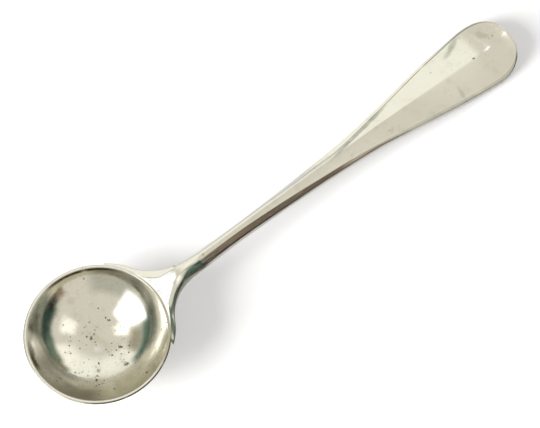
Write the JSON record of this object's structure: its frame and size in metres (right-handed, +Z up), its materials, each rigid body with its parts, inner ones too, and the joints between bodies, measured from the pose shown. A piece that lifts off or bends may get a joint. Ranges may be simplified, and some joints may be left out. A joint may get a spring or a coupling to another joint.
{
  "type": "salt spoon",
  "caption": "Small silver salt spoon with a round bowl and a slim stem that widens into a ridged handle with a turned-up rounded tip.",
  "frame": {"origin": "middle of the small worn flat under the bowl, at table height", "axes": "+X from the bowl to the tip of the handle, +Z up from the table, +Y to the left when looking from the bowl to the tip"},
  "size_m": [0.0996, 0.0232, 0.0071],
  "materials": {
    "bowl": "worn polished silver with light tarnish",
    "stem": "worn polished silver",
    "solder_seam": "dull silver solder"
  },
  "bodies": {
    "root": {"bowl": "bowl", "stem": "stem", "solder_seam": "solder_seam"}
  },
  "joints": []
}
